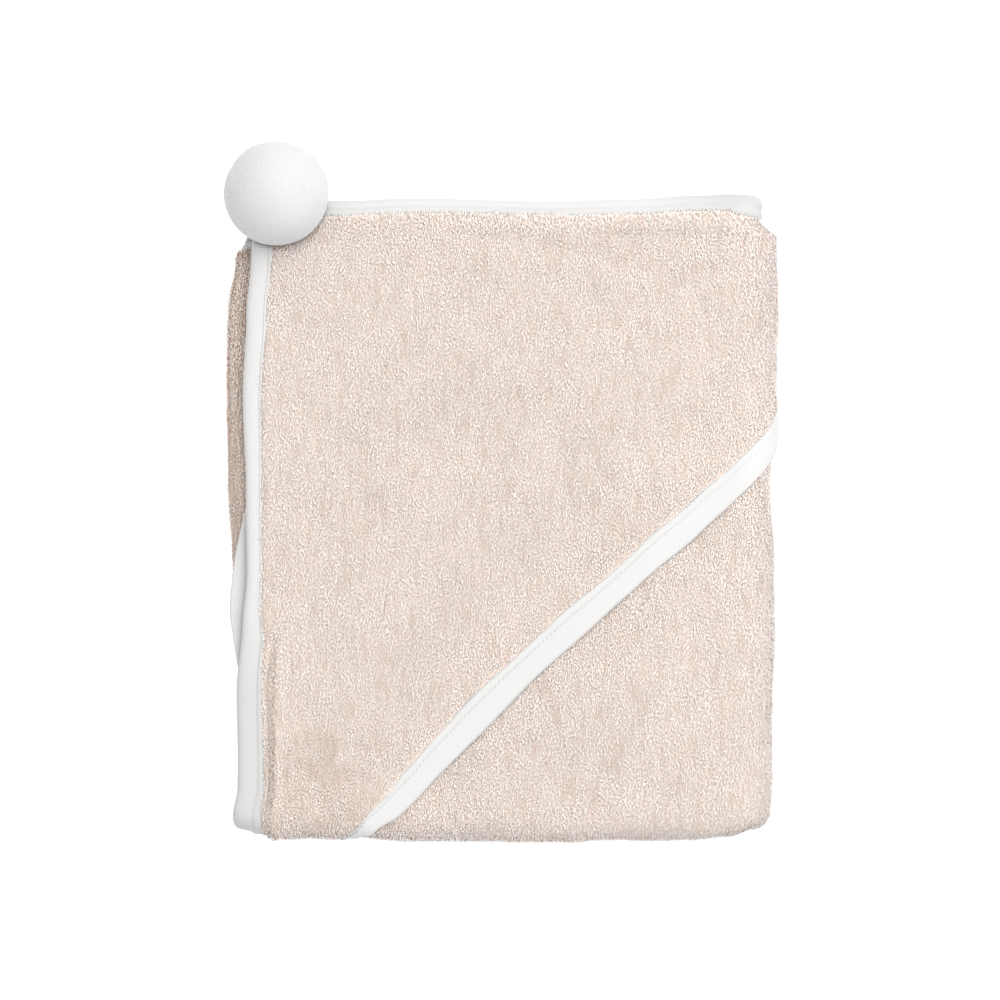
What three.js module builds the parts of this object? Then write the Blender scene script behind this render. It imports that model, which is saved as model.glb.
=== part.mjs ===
// A square baby bath towel with a corner hood, folded and lying flat.
// Terry plies, white edge bindings and a ball sewn to the tip of the hood. Millimetres, +Z up.
// The towel is folded in thirds from back to front, which makes a strip of three plies, and the
// strip is then rolled up from its far end: a run on top, round the right fold, a run underneath,
// and round the left fold to the runs hidden inside. The back of the strip rolls over, its front
// is folded.
import * as THREE from 'three';
import { mergeVertices } from 'three/addons/utils/BufferGeometryUtils.js';

// ---- cloth ----
const ply = 2.2; // wall of one ply of terry
const seam = 0.3; // gap between pieces that touch
const pitch = ply + seam; // one ply and its gap
const strip = 3 * pitch; // the towel folded in thirds
const hiddenDepth = 2.85; // the hidden layers start this far under the outer face
const tapeWidth = 12.4; // folded edge binding
const tapeWall = 1.0;
const boundPly = 1.0; // a ply squeezed inside its binding

// ---- folds ----
const frontRadius = strip / 2; // fold between the first and second thirds
const frontSweep = 0.8 * Math.PI; // how far round that fold the outer ply is its own piece
const backRadius = 11.5; // roll of the loose back edge
const backSweep = 1.31; // its angle on the top run
const backSweepUnder = 0.3; // and on the underside
const leftRadius = strip; // fold round two runs of the strip
const leftRadiusPressed = 3.9; // the same fold where the ball presses on it

// ---- ball ----
const ballRadius = 22.1;
const ballCentre = new THREE.Vector3(-94.5, 125.2, 31);
const ballSettle = 3.4; // softness of the hollow that the ball presses
const ballClearance = 0.45;

// ---- outline: a row for each section across the towel, from back to front ----
// edge: bound edge of the top run; fold: outermost left fold below it; right: right fold.
const sections = [
  { y: 126, edge: -104.3, fold: -107.4, right: 113.0 },
  { y: 110, edge: -104.5, fold: -107.6, right: 113.1 },
  { y: 99, edge: -105.2, fold: -111.9, right: 113.4 },
  { y: 74, edge: -106.8, fold: -114.5, right: 113.8 },
  { y: 40, edge: -108.4, fold: -114.9, right: 113.2 },
  { y: 4, edge: -107.4, fold: -114.2, right: 113.3 },
  { y: -34, edge: -107.2, fold: -112.4, right: 114.6 },
  { y: -56, edge: -108.7, fold: -110.0, right: 115.2 },
  { y: -84, edge: -110.9, fold: -109.2, right: 114.2 },
  { y: -124, edge: -110.7, fold: -109.0, right: 113.5 },
  { y: -137, edge: -112.2, fold: -108.6, right: 112.6 },
  { y: -148, edge: -111.0, fold: -107.6, right: 109.6 },
];

// Where the flat of the top run ends, by x: back, at the start of the roll, and front, at the
// foremost point of the fold.
const ends = [
  { x: -112, back: 108.6, front: -142.6 },
  { x: -68, back: 108.8, front: -143.6 },
  { x: -40, back: 109.5, front: -146.4 },
  { x: 24, back: 107.9, front: -146.6 },
  { x: 60, back: 108.8, front: -146.2 },
  { x: 86, back: 110.2, front: -146.0 },
  { x: 100, back: 110.6, front: -145.4 },
  { x: 116, back: 109.6, front: -142.4 },
];
const underBack = 107; // the same two on the underside
const underFront = -143.5;

const clamp = THREE.MathUtils.clamp;
const lerp = THREE.MathUtils.lerp;
const smoothstep = THREE.MathUtils.smoothstep;

// Smooth interpolation in a table whose first column is sorted either way.
function look(table, by, column, at) {
  const rows = table[0][by] < table[1][by] ? table : [...table].reverse();
  if (at <= rows[0][by]) return rows[0][column];
  for (let i = 1; i < rows.length; i += 1) {
    if (at <= rows[i][by]) {
      const t = (at - rows[i - 1][by]) / (rows[i][by] - rows[i - 1][by]);
      return lerp(rows[i - 1][column], rows[i][column], t * t * (3 - 2 * t));
    }
  }
  return rows[rows.length - 1][column];
}

const edgeAt = (y) => look(sections, 'y', 'edge', y);
const foldAt = (y) => look(sections, 'y', 'fold', y);
const rightAt = (y) => look(sections, 'y', 'right', y);

// The left fold is squeezed near the ball.
const leftRadiusAt = (y) => lerp(leftRadius, leftRadiusPressed, smoothstep(y, 88, 103));

// Height of the main panel's outer face on the top run: three strips on the left, four on the
// right, pressed in under the ball.
function topLevel(x, y) {
  const flat = 3 * strip + strip * smoothstep(x, -50, 75);
  const back = look(ends, 'x', 'back', x);
  const along = clamp(y - back, 0, backRadius + pitch - 0.1);
  const rolled = backRadius + pitch - Math.sqrt((backRadius + pitch) ** 2 - along * along);
  const reach = ballRadius + ballClearance;
  const out = Math.hypot(x - ballCentre.x, y - ballCentre.y);
  const dip = out < reach ? Math.sqrt(reach * reach - out * out) : 2 * (reach - out);
  const need = flat + pitch - Math.min(rolled, 9.5) - ballCentre.z + dip;
  const pressed = (need + Math.sqrt(need * need + ballSettle * ballSettle)) / 2;
  return flat - pressed;
}

// Height of its outer face on the underside: flat, and raised where the hood lies below it.
const pastHood = (x, y) => rightAt(y) - x - y - 8;
const overHood = (x) => smoothstep(x, 42, 74);
function underLevel(x, y) {
  return pitch * overHood(x) * (1 - smoothstep(pastHood(x, y), 14, 46));
}

// The outer face of the main panel, going round: u 0 to 1 top, 1 to 2 right fold, 2 to 3
// underside, 3 to 4 left fold. depth is measured inwards.
function around(u, y, depth) {
  const right = rightAt(y);
  const foldTop = topLevel(right - 2 * strip, y);
  const foldUnder = underLevel(right - 2 * strip, y);
  const radius = (foldTop - foldUnder) / 2;
  const axis = right - radius;
  const smallRadius = leftRadiusAt(y);
  const smallAxis = foldAt(y) + smallRadius;
  if (u <= 1) {
    const x = lerp(edgeAt(y), axis, u);
    return [x, topLevel(x, y) - depth];
  }
  if (u <= 2) {
    const angle = Math.PI * (1.5 - u);
    const z = foldUnder + radius;
    return [axis + (radius - depth) * Math.cos(angle), z + (radius - depth) * Math.sin(angle)];
  }
  if (u <= 3) {
    const x = lerp(axis, smallAxis, u - 2);
    return [x, underLevel(x, y) + depth];
  }
  const angle = -Math.PI * (u - 2.5);
  const reach = smallRadius - depth;
  return [smallAxis + reach * Math.cos(angle), smallRadius + reach * Math.sin(angle)];
}

// Length round the towel from the bound left edge, on the outer face.
function lengthAround(u, y) {
  const right = rightAt(y);
  const radius = (topLevel(right - 2 * strip, y) - underLevel(right - 2 * strip, y)) / 2;
  const top = right - radius - edgeAt(y);
  const bend = Math.PI * radius;
  if (u <= 1) return u * top;
  if (u <= 2) return top + (u - 1) * bend;
  return top + bend + (u - 2) * (right - radius - foldAt(y) - leftRadius);
}

const isUnder = (u) => smoothstep(u, 1, 2);
const xOfRun = (u) => lerp(-108, 101, Math.min(u, 1)) + 15 * smoothstep(u, 1, 1.5);
const backAt = (u) => lerp(look(ends, 'x', 'back', xOfRun(u)), underBack, isUnder(u));
const frontAt = (u) => lerp(look(ends, 'x', 'front', xOfRun(u)), underFront, isUnder(u));
const sweepAt = (u) => lerp(backSweep, backSweepUnder, isUnder(u)) - 0.26 * smoothstep(u, 2.2, 3);
const rollLength = (u) => backRadius * sweepAt(u);
const flatLength = (u) => backAt(u) - frontAt(u) - frontRadius;
const frontStart = (u) => rollLength(u) + flatLength(u);

// A point of the cloth: u round the towel, v from the back edge forwards along the outer face,
// depth inwards.
function cloth(u, v, depth) {
  const roll = rollLength(u);
  if (v < roll) {
    const angle = (roll - v) / backRadius;
    const y = backAt(u) + (backRadius - depth) * Math.sin(angle);
    const [x, z] = around(u, y, backRadius - (backRadius - depth) * Math.cos(angle));
    return [x, y, z];
  }
  if (v < frontStart(u)) {
    const y = backAt(u) - (v - roll);
    const [x, z] = around(u, y, depth);
    return [x, y, z];
  }
  const angle = (v - frontStart(u)) / frontRadius;
  const y = frontAt(u) + frontRadius - (frontRadius - depth) * Math.sin(angle);
  const [x, z] = around(u, y, frontRadius - (frontRadius - depth) * Math.cos(angle));
  return [x, y, z];
}

// ---- meshes ----
const group = new THREE.Group();

const apart = (a, b) => Math.hypot(a[0] - b[0], a[1] - b[1], a[2] - b[2]);

// A patch with its other side out.
const turned = (patch) => Object.assign([...patch], { turned: true });

// One mesh from patches of points, its shared corners joined.
function addPiece(name, patches, colour, roughness) {
  const positions = [];
  for (const patch of patches) {
    for (let i = 0; i + 1 < patch.length; i += 1) {
      for (let j = 0; j + 1 < patch[i].length; j += 1) {
        const [a, b, c, d] = [patch[i][j], patch[i + 1][j], patch[i + 1][j + 1], patch[i][j + 1]];
        const corners = apart(a, c) < 1.02 * apart(b, d) ? [a, b, c, a, c, d] : [b, c, d, b, d, a];
        positions.push(...(patch.turned ? corners.reverse() : corners).flat());
      }
    }
  }
  const loose = new THREE.BufferGeometry();
  loose.setAttribute('position', new THREE.Float32BufferAttribute(positions, 3));
  const joined = mergeVertices(loose, 1e-3);
  const index = joined.index.array;
  const p = joined.attributes.position;
  const kept = [];
  let volume = 0;
  const [a, b, c] = [new THREE.Vector3(), new THREE.Vector3(), new THREE.Vector3()];
  for (let i = 0; i < index.length; i += 3) {
    const [ia, ib, ic] = [index[i], index[i + 1], index[i + 2]];
    if (ia === ib || ib === ic || ic === ia) continue;
    kept.push(ia, ib, ic);
    a.fromBufferAttribute(p, ia);
    b.fromBufferAttribute(p, ib);
    c.fromBufferAttribute(p, ic);
    volume += a.dot(b.cross(c)) / 6;
  }
  if (volume < 0) kept.reverse();
  joined.setIndex(kept);
  joined.computeVertexNormals();
  const material = new THREE.MeshStandardMaterial({ color: colour, roughness, metalness: 0 });
  const mesh = new THREE.Mesh(joined, material);
  mesh.name = name;
  group.add(mesh);
}

// A wall between an outer and an inner face, closed by a rim all round.
function wallPatches(us, vsAt, outer, inner) {
  const faces = [outer, inner].map((face) => us.map((u) => vsAt(u).map((v) => face(u, v))));
  const [out, back] = faces;
  const last = us.length - 1;
  const end = out[0].length - 1;
  return [
    out,
    turned(back),
    [back[0], out[0]],
    [out[last], back[last]],
    [out.map((row) => row[0]), back.map((row) => row[0])],
    [back.map((row) => row[end]), out.map((row) => row[end])],
  ];
}

// A closed section carried along a path of stations, with a flat end at each side.
function sweepPatches(stations, section) {
  const rings = stations.map((station) => {
    const points = section(station);
    return [...points, points[0]];
  });
  const half = (rings[0].length - 1) / 2;
  const cap = (ring) => {
    const near = ring.slice(0, half);
    const far = ring.slice(half, 2 * half).reverse();
    return [near, far];
  };
  const first = cap(rings[0]);
  const final = cap(rings[rings.length - 1]);
  return [rings, [first[1], first[0]], final];
}

// ---- shared stations ----
// Parts of a run (see around): near the bound left edge and the ball, where the diagonal crosses
// the front fold, and on. The back binding has the hood's stations, so that they keep apart.
const edgeStops = [0.0077, 0.0232, 0.0415, 0.0613, 0.071, 0.092, 0.125, 0.155, 0.186];
const frontStops = [0.215, 0.245, 0.275, 0.31];
const farStops = [0.45, 0.6, 0.75, 0.89, 1];
const diagonalStops = [0.208, 0.219, 0.23, 0.241, 0.252, 0.262, 0.284, 0.31, 0.38, ...farStops];
const rightStops = [1, 2, 3, 4, 5, 6, 7].map((n) => 1 + n / 7);
const hoodEnd = 2.12;
const underStops = [2.3, 2.65, 3];
const leftStops = [3.25, 3.5, 3.75, 4];
const hoodStops = [...edgeStops, ...diagonalStops, ...rightStops, hoodEnd];
const endStops = [...hoodStops, ...underStops, ...leftStops];
const mainStops = [...edgeStops, ...frontStops, ...farStops, ...rightStops, hoodEnd,
  ...underStops, ...leftStops];
const backStops = [1.6, 4.8, 8.6, tapeWidth, 14.7, 19, 26, 34];
const middleParts = [0.17, 0.34, 0.51, 0.68, 0.85, 1];
const hookLength = frontSweep * frontRadius;
const foldStops = [0.25, 0.5, 0.75, 1].map((part) => part * hookLength);

// How far a ply is squeezed by its binding, and whether the hood's ply lies in it too.
const squeeze = (u, v, y) => {
  const side = u <= 1 ? u * lengthAround(1, y) : tapeWidth * 2;
  return 1 - smoothstep(Math.min(side, v), tapeWidth + 0.1, 14.6);
};
const hooded = (u) => 1 - smoothstep(u, hoodEnd + 0.02, 2.3);

// ---- main panel ----
const mainRows = (u) => {
  const front = frontStart(u);
  const middle = middleParts.map((part) => lerp(34, front, part));
  return [...backStops, ...middle, ...foldStops.map((length) => front + length)];
};
const panelFace = (depthAt) => (u, v) => {
  const y = cloth(u, v, 0)[1];
  return cloth(u, v, depthAt(squeeze(u, v, y), hooded(u)));
};
const mainOuter = panelFace((held, hood) => held * lerp(1.3, 0.1, hood));
const mainInner = panelFace((held, hood) => lerp(ply, lerp(1.3, 0.1, hood) + boundPly, held));

// ---- hood panel: on the main panel, cut off along a diagonal ----
// free and inner: sums of the lengths along the two bound edges at the binding's two edges.
const diagonal = [
  { x: -62, free: 317.6, inner: 315.1 },
  { x: -56, free: 321.7, inner: 315.7 },
  { x: -50, free: 326.3, inner: 315.1 },
  { x: -38, free: 330.6, inner: 311.6 },
  { x: -24, free: 328.2, inner: 309.6 },
  { x: -10, free: 328.0, inner: 308.2 },
  { x: 20, free: 326.4, inner: 307.1 },
  { x: 60, free: 328.4, inner: 311.3 },
  { x: 85, free: 333.4, inner: 316.2 },
  { x: 100, free: 335.0, inner: 318.6 },
  { x: 112, free: 333.9, inner: 318.4 },
];
function diagonalAt(u, column) {
  const total = look(diagonal, 'x', column, xOfRun(u));
  const first = total - lengthAround(u, 0);
  const y = cloth(u, clamp(first, 0, frontStart(u)), 0)[1];
  return Math.min(total - lengthAround(u, y), frontStart(u) + hookLength);
}
const hoodRows = (u) => {
  const end = diagonalAt(u, 'inner') - seam;
  const middle = middleParts.map((part) => lerp(34, end - hookLength, part));
  return [...backStops, ...middle, ...foldStops.map((length) => end - hookLength + length)];
};
const hoodOuter = panelFace((held) => -lerp(pitch, 0.2 + boundPly, held));
const hoodInner = panelFace((held) => -lerp(seam, 0.2, held));

// ---- hood binding: tape folded over the hood's diagonal edge and pressed flat ----
const tapeStops = [...diagonalStops, ...rightStops, hoodEnd];
const hoodTapeRows = (u) => {
  const near = diagonalAt(u, 'inner') + seam;
  const far = Math.min(Math.max(diagonalAt(u, 'free'), near + 0.5), frontStart(u) + hookLength);
  return [0, 1, 2, 3, 4, 5, 6, 7].map((n) => lerp(near, far, n / 7));
};

// ---- edge bindings: a tape folded round the bound edge ----
// from: distance from the folded edge; hood, plain: height over the main panel, with and
// without the hood's ply inside. The first half goes round outside, the second back inside.
const tapeSection = [
  { from: tapeWidth, hood: 2.5, plain: 0 },
  { from: 8.6, hood: 2.5, plain: 0 },
  { from: 4.8, hood: 2.5, plain: 0 },
  { from: 1.4, hood: 2.5, plain: 0 },
  { from: 0, hood: 1.1, plain: -1 },
  { from: 0, hood: -1, plain: -2.6 },
  { from: 1.4, hood: -2.4, plain: -3.6 },
  { from: 4.8, hood: -2.4, plain: -3.6 },
  { from: 8.6, hood: -2.4, plain: -3.6 },
  { from: tapeWidth, hood: -2.4, plain: -3.6 },
  { from: tapeWidth, hood: -1.4, plain: -2.6 },
  { from: 8.6, hood: -1.4, plain: -2.6 },
  { from: 4.8, hood: -1.4, plain: -2.6 },
  { from: 1.8, hood: -1.4, plain: -2.6 },
  { from: tapeWall, hood: -0.9, plain: -2.2 },
  { from: tapeWall, hood: 1, plain: -1.4 },
  { from: 1.8, hood: 1.5, plain: -1 },
  { from: 4.8, hood: 1.5, plain: -1 },
  { from: 8.6, hood: 1.5, plain: -1 },
  { from: tapeWidth, hood: 1.5, plain: -1 },
];
const endTape = (u) =>
  tapeSection.map((row) => cloth(u, row.from, -lerp(row.plain, row.hood, hooded(u))));
const sideTape = (v) => {
  const y = cloth(0, v, 0)[1];
  return tapeSection.map((row) => cloth(row.from / lengthAround(1, y), v, -row.hood));
};
const sideStops = mainRows(0).filter((v) => v > tapeWidth);

// ---- bound edges of the second and third plies, below the top one ----
// A flat bar as wide as the tape, its left edge rounded; out: how far it bows out.
const bowBack = -2;
const bowFront = -80;
const bow = (y) => {
  const part = clamp((y - bowFront) / (bowBack - bowFront), 0, 1);
  return 7.6 * Math.sin(Math.PI * part ** 0.85) ** 1.3;
};
const barStops = [-137, -110, -95, -80, -72, -62, -52, -42, -32, -20, -8, 10, 40, 62, 82];
const lowerTape = (heightAt, out) => (y) => {
  const left = edgeAt(y) + 1.2 - out(y);
  const z = heightAt(left + tapeWidth / 2, y);
  const far = edgeAt(y) + tapeWidth;
  return [[far, y, z + 0.95], [left + 1, y, z + 0.95], [left, y, z + 0.4],
    [left, y, z - 0.4], [left + 1, y, z - 0.95], [far, y, z - 0.95]];
};

// ---- bound edge inside the roll: on the hidden runs, seen from behind ----
const insideTop = (x) => topLevel(x, 60) - 11;
const insideStops = [0, 1, 2, 3, 4, 5, 6, 7, 8, 9, 10, 11, 12, 13];
const insideTape = (n) => {
  const axis = rightAt(100) - 2 * strip;
  const arm = 4;
  const angle = Math.PI * (0.5 - (n - 5) / 5);
  const under = lerp(axis, axis - 100, (n - 10) / 3);
  let place = (height) => [lerp(-56, axis, n / 5), insideTop(lerp(-56, axis, n / 5)) + height];
  if (n > 5) {
    place = (height) => [axis + (arm + height) * Math.cos(angle),
      insideTop(axis) - arm + (arm + height) * Math.sin(angle)];
  }
  if (n > 10) place = (height) => [under, insideTop(axis) - 2 * arm - height];
  const rim = (y, height) => {
    const [x, z] = place(height);
    return [x, backAt(Math.min(n / 5, 1)) + y, z];
  };
  return [rim(3.2, 1), rim(6.8, 1), rim(7.6, 0.5), rim(7.6, -0.5), rim(6.8, -1), rim(3.2, -1)];
};

// ---- hidden layers ----
// One solid. A row for each level, from the underside up: under, over: height from the
// bottom, or from the top; share: of what lies between; front, back: how far the level ends
// behind the foremost point and in front of the start of the back roll; leftX, leftZ: its left
// end, as parts of the left fold's radius from its axis; leftPly: or how far up that end lies
// between the third ply's bound edge and the top run.
const levels = [
  { under: 0, front: 9.5, back: -12.6, leftX: 0, leftZ: -1 },
  { under: 1.3, front: 6.6, back: -12.4, leftX: -0.4, leftZ: -0.9 },
  { under: 1.7, front: 4.8, back: 0.4, leftX: -0.7, leftZ: -0.7 },
  { under: 2.9, front: 4.6, back: 2.0, leftX: -1, leftZ: 0 },
  { under: 4.9, front: 6.2, back: 1.0, leftX: -0.7, leftZ: 0.7 },
  { share: 0.25, front: 3.0, back: 2.4, leftX: 0, leftZ: 1 },
  { share: 0.5, front: 4.6, back: 1.2, leftX: 0.3, leftZ: 1 },
  { share: 0.75, front: 3.4, back: 2.4, leftX: 0.3, leftZ: 1.35 },
  { over: 4.9, front: 6.2, back: 3.4, leftPly: 0 },
  { over: 2.8, front: 4.6, back: 5.2, leftPly: 0.45 },
  { over: 1.0, front: 4.8, back: 2.2, leftPly: 0.8 },
  { over: 0, front: 9.5, back: -0.4, leftPly: 1 },
];
const layerStops = [0, 0.085, 0.15, 0.25, 0.4, 0.55, 0.7, 0.85, 1,
  ...rightStops.slice(0, 3)];
const alongStops = [0, 0.03, 0.2, 0.4, 0.6, 0.78, 0.87, 0.93, 0.97, 1];
function hiddenPoint(u, level, along) {
  const held = 1 - smoothstep(xOfRun(u), -85, -55) * (1 - smoothstep(u, 0.88, 1.1));
  const frontInset = Math.max(level.front, lerp(0, 5.2, smoothstep(u, 1, 1.3)));
  const backInset = Math.min(level.back, lerp(level.back, -1.5, held));
  const ownFront = level.under === undefined ? frontAt(u) : frontAt(3 - u);
  const ownBack = level.under === undefined ? backAt(u) : backAt(3 - u);
  let y = lerp(ownFront + frontInset, ownBack + backInset, along);
  if (u === 0) y = lerp(frontAt(3) + 10.5, underBack - 12.6, along);
  const pressed = smoothstep(y, 80, 98) * (1 - smoothstep(u, 0.15, 0.4));
  const top = around(Math.max(u, 0.085), y, hiddenDepth + 0.6 * pressed);
  const bottom = around(3 - Math.max(u, 0.085), y, hiddenDepth);
  if (u <= 1) bottom[1] += 0.4 * overHood(bottom[0] + 16);
  const height = top[1] - bottom[1];
  const full = Math.max(2 * strip - hiddenDepth, topLevel(top[0], 60) - 2 * hiddenDepth);
  let part = level.under !== undefined ? level.under / full : 1 - level.over / full;
  if (level.share !== undefined) part = lerp(4.9, full - 4.9, level.share) / full;
  if (u > 0) {
    return [lerp(bottom[0], top[0], part), y, bottom[1] + height * part];
  }
  const radius = leftRadiusAt(y);
  const inside = (radius - hiddenDepth) * (1 - smoothstep(y, 78, 92)) + 0.1;
  const axis = foldAt(y) + radius + 0.5;
  if (level.leftPly === undefined) {
    const reach = level.leftX < 0 ? inside * level.leftX : 5 * level.leftX;
    const above = radius - hiddenDepth + (level.leftZ - 1) * 5.6;
    return [axis + reach, y, radius + (level.leftZ > 1 ? above : level.leftZ * inside)];
  }
  const x = edgeAt(y) + tapeWidth + 0.7;
  const floor = 2 * radius + 0.2;
  return [x, y, lerp(floor, topLevel(x, y) - hiddenDepth, level.leftPly)];
}
const hiddenPatches = () => {
  const face = (level) => layerStops.map((u) => alongStops.map((a) => hiddenPoint(u, level, a)));
  const end = (along) => layerStops.map((u) => levels.map((level) => hiddenPoint(u, level, along)));
  const side = (u) => alongStops.map((a) => levels.map((level) => hiddenPoint(u, level, a)));
  return [
    face(levels[levels.length - 1]),
    turned(face(levels[0])),
    end(0),
    turned(end(1)),
    turned(side(0)),
    side(layerStops[layerStops.length - 1]),
  ];
};

// ---- the object ----
const terryColour = '#eadfd5';
const tapeColour = '#f6f5f3';
const ballColour = '#f4f4f2';
addPiece('inner_layers', hiddenPatches(), terryColour, 0.95);
addPiece('main_panel', wallPatches(mainStops, mainRows, mainOuter, mainInner), terryColour, 0.95);
addPiece('hood_panel', wallPatches(hoodStops, hoodRows, hoodOuter, hoodInner), terryColour, 0.95);
addPiece('hood_binding', wallPatches(tapeStops, hoodTapeRows,
  (u, v) => cloth(u, v, -pitch), (u, v) => cloth(u, v, -seam)), tapeColour, 0.8);
addPiece('side_edge_binding', sweepPatches(sideStops, sideTape), tapeColour, 0.8);
addPiece('end_edge_binding', sweepPatches([0, ...endStops], endTape), tapeColour, 0.8);
addPiece('second_edge_binding', sweepPatches(barStops,
  lowerTape((x, y) => topLevel(x, y) - 3.85, bow)), tapeColour, 0.8);
addPiece('third_edge_binding', sweepPatches(barStops,
  lowerTape((x, y) => 2 * leftRadiusAt(y) + 1.35, () => 0)), tapeColour, 0.8);
addPiece('inner_edge_binding', sweepPatches(insideStops, insideTape), tapeColour, 0.8);

const ball = new THREE.Mesh(
  new THREE.SphereGeometry(ballRadius, 24, 14),
  new THREE.MeshStandardMaterial({ color: ballColour, roughness: 0.9, metalness: 0 }),
);
ball.name = 'ball';
ball.position.copy(ballCentre);
group.add(ball);

// The origin is at the middle of the object's base.
group.updateMatrixWorld(true);
const bounds = new THREE.Box3().setFromObject(group, true);
const middle = bounds.getCenter(new THREE.Vector3());
group.position.set(-middle.x, -middle.y, -bounds.min.z);
group.updateMatrixWorld(true);

export default group;
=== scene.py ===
"""A square terry baby towel with a corner hood, folded and lying flat.

The outer ply, the hood, their pile and their bindings are given in the cloth's own measures
(round the towel, forwards from its back edge, and depth inwards from the outer ply) and carried
onto the folded towel by fold_cloth. The rest is worked out in place. Sizes are millimetres
until a mesh is made, which is in metres.
"""

import math
from functools import partial

import bpy
import numpy as np
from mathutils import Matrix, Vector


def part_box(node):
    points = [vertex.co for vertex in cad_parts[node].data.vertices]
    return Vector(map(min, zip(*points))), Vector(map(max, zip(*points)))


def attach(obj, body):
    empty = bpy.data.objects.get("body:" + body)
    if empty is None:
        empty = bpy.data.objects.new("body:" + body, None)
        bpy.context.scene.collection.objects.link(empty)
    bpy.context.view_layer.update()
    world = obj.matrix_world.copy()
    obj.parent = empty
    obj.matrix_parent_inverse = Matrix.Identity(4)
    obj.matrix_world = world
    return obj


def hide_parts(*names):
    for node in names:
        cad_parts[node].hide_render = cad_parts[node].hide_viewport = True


bl_info = {
    "name": "Folded hooded towel",
    "version": (1, 0, 0),
    "blender": (4, 5, 0),
    "location": "3D View > Sidebar > Towel",
    "description": "Builds the terry, bindings, stitches and ball of a folded hooded towel",
    "category": "Object",
}

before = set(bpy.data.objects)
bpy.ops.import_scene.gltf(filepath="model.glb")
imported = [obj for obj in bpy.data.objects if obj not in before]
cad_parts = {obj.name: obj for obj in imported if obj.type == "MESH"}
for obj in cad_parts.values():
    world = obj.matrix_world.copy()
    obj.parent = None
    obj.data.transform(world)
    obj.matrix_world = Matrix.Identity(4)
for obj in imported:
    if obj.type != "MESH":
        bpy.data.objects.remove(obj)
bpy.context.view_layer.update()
MM = 0.001

# The outline, a column of numbers for each measure, from back to front. edge: bound edge of
# the top run; fold: outermost left fold below it; right: right fold, in a table of its own.
SECTIONS = {
    "y": [126, 110, 99, 74, 40, 4, -34, -56, -84, -124, -137, -148],
    "edge": [-104.3, -104.5, -105.2, -106.8, -108.4, -107.4, -107.2, -108.7, -110.9, -110.7,
             -112.2, -111.0],
    "fold": [-106.6, -106.9, -111.7, -115.1, -115.5, -114.9, -112.9, -110.4, -109.4, -109.2,
             -108.6, -107.6],
}
RIGHT = {
    "y": [126, 121, 117, 113, 110.5, 107.5, 99, 74, 40, 4, -34, -56, -84, -124, -137, -148],
    "right": [110.8, 110.6, 109.2, 107.6, 109.4, 113.2, 113.7, 113.9, 114.2, 113.7, 114.8, 115.6,
              114.6, 114.0, 112.8, 109.2],
}
# Where the flat of the top run ends: back at the start of the roll, front at the foremost point.
ENDS = {
    "x": [-112, -105, -99, -92, -68, -40, 24, 60, 86, 100, 116],
    "back": [109.4, 109.4, 109.4, 109.5, 109.9, 110.9, 109.4, 110.3, 111.8, 112.4, 111.6],
    "front": [-139.2, -139.9, -142.4, -144.1, -144.2, -146.7, -147.1, -146.2, -146.0, -144.4,
              -139.6],
}
# The hood's diagonal edge: sums of the lengths along both bound edges at the binding's edges.
DIAGONAL = {
    "x": [-62, -56, -50, -38, -24, -10, 20, 60, 85, 100, 112],
    "free": [318.5, 322.8, 327.5, 332.0, 329.6, 329.4, 327.9, 329.9, 335.0, 336.8, 335.7],
    "inner": [316.2, 317.0, 316.3, 313.0, 311.0, 309.6, 308.6, 312.8, 317.8, 320.4, 320.2],
}
# How much of the left binding shows beside the pile, where it is sewn, and how far its folded
# edge stands out from the cloth's.
SIDE_TAPE = {
    "y": [104, 92, 74, 40, -8, -38, -66, -84, -113, -125, -136],
    "groove": [7.2, 7.1, 6.8, 6.4, 5.6, 5.8, 7.8, 8.0, 8.1, 8.0, 7.2],
    "width": [9.1, 8.5, 7.9, 7.4, 6.5, 6.7, 9.1, 10.2, 10.8, 11.0, 11.2],
    "flare": [0.1, 0.3, 0.6, 0.5, 0.2, 0.0, 0.5, 0.6, 0.2, 0.4, 0.9],
}
# Troughs (and ridges, where deep is negative) in the flat cloth, from one end to the other.
CREASES = {
    "from_s": [78, 82, 171, 134, 70, 13.4, 32, 43, 150, 60, 118, 226, 232, 96, 190, 30],
    "from_v": [14, 7, 91, 114, 91, 188, 236, 224, 26, 40, 180, 60, 180, 215, 30, 120],
    "to_s": [154, 150, 168, 137, 73, 13.8, 33, 43.5, 184, 56, 122, 228, 229, 100, 193, 27],
    "to_v": [27, 19, 136, 141, 116, 272, 264, 246, 40, 62, 214, 120, 232, 240, 62, 152],
    "wide": [4.5, 4.0, 6.0, 4.2, 4.4, 1.0, 8.5, 1.4, 5.0, 6.0, 7.0, 5.0, 6.0, 5.0, 6.0, 5.0],
    "deep": [0.9, -0.6, 0.7, 0.6, 0.6, 2.3, 1.6, 0.8, 0.5, 0.4, 0.4, 0.6, 0.7, 0.4, 0.4, 0.4],
}
# The section of a folded tape: reach 0 at its folded edge, 1 at the stitching, 2 at its free
# edge; rise 1 on its face, 0 at its back.
TAPE_FACE = {
    "reach": [2.0, 1.94, 1.7, 1.3, 1.1, 1.0, 0.92, 0.84, 0.7, 0.5, 0.3, 0.15, 0.05, 0.0, 0.01,
              0.06, 0.2, 0.5, 1.0, 1.6],
    "rise": [0.66, 0.80, 0.87, 0.90, 0.89, 0.84, 0.90, 0.95, 0.99, 1.02, 0.99, 0.91, 0.77, 0.55,
             0.32, 0.14, 0.03, 0.0, 0.0, 0.0],
}


# ---- sizes and colours ----
def length(name, text, default):
    return bpy.props.FloatProperty(name=name, description=text, default=default, min=0,
                                   unit="LENGTH", precision=5)


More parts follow.
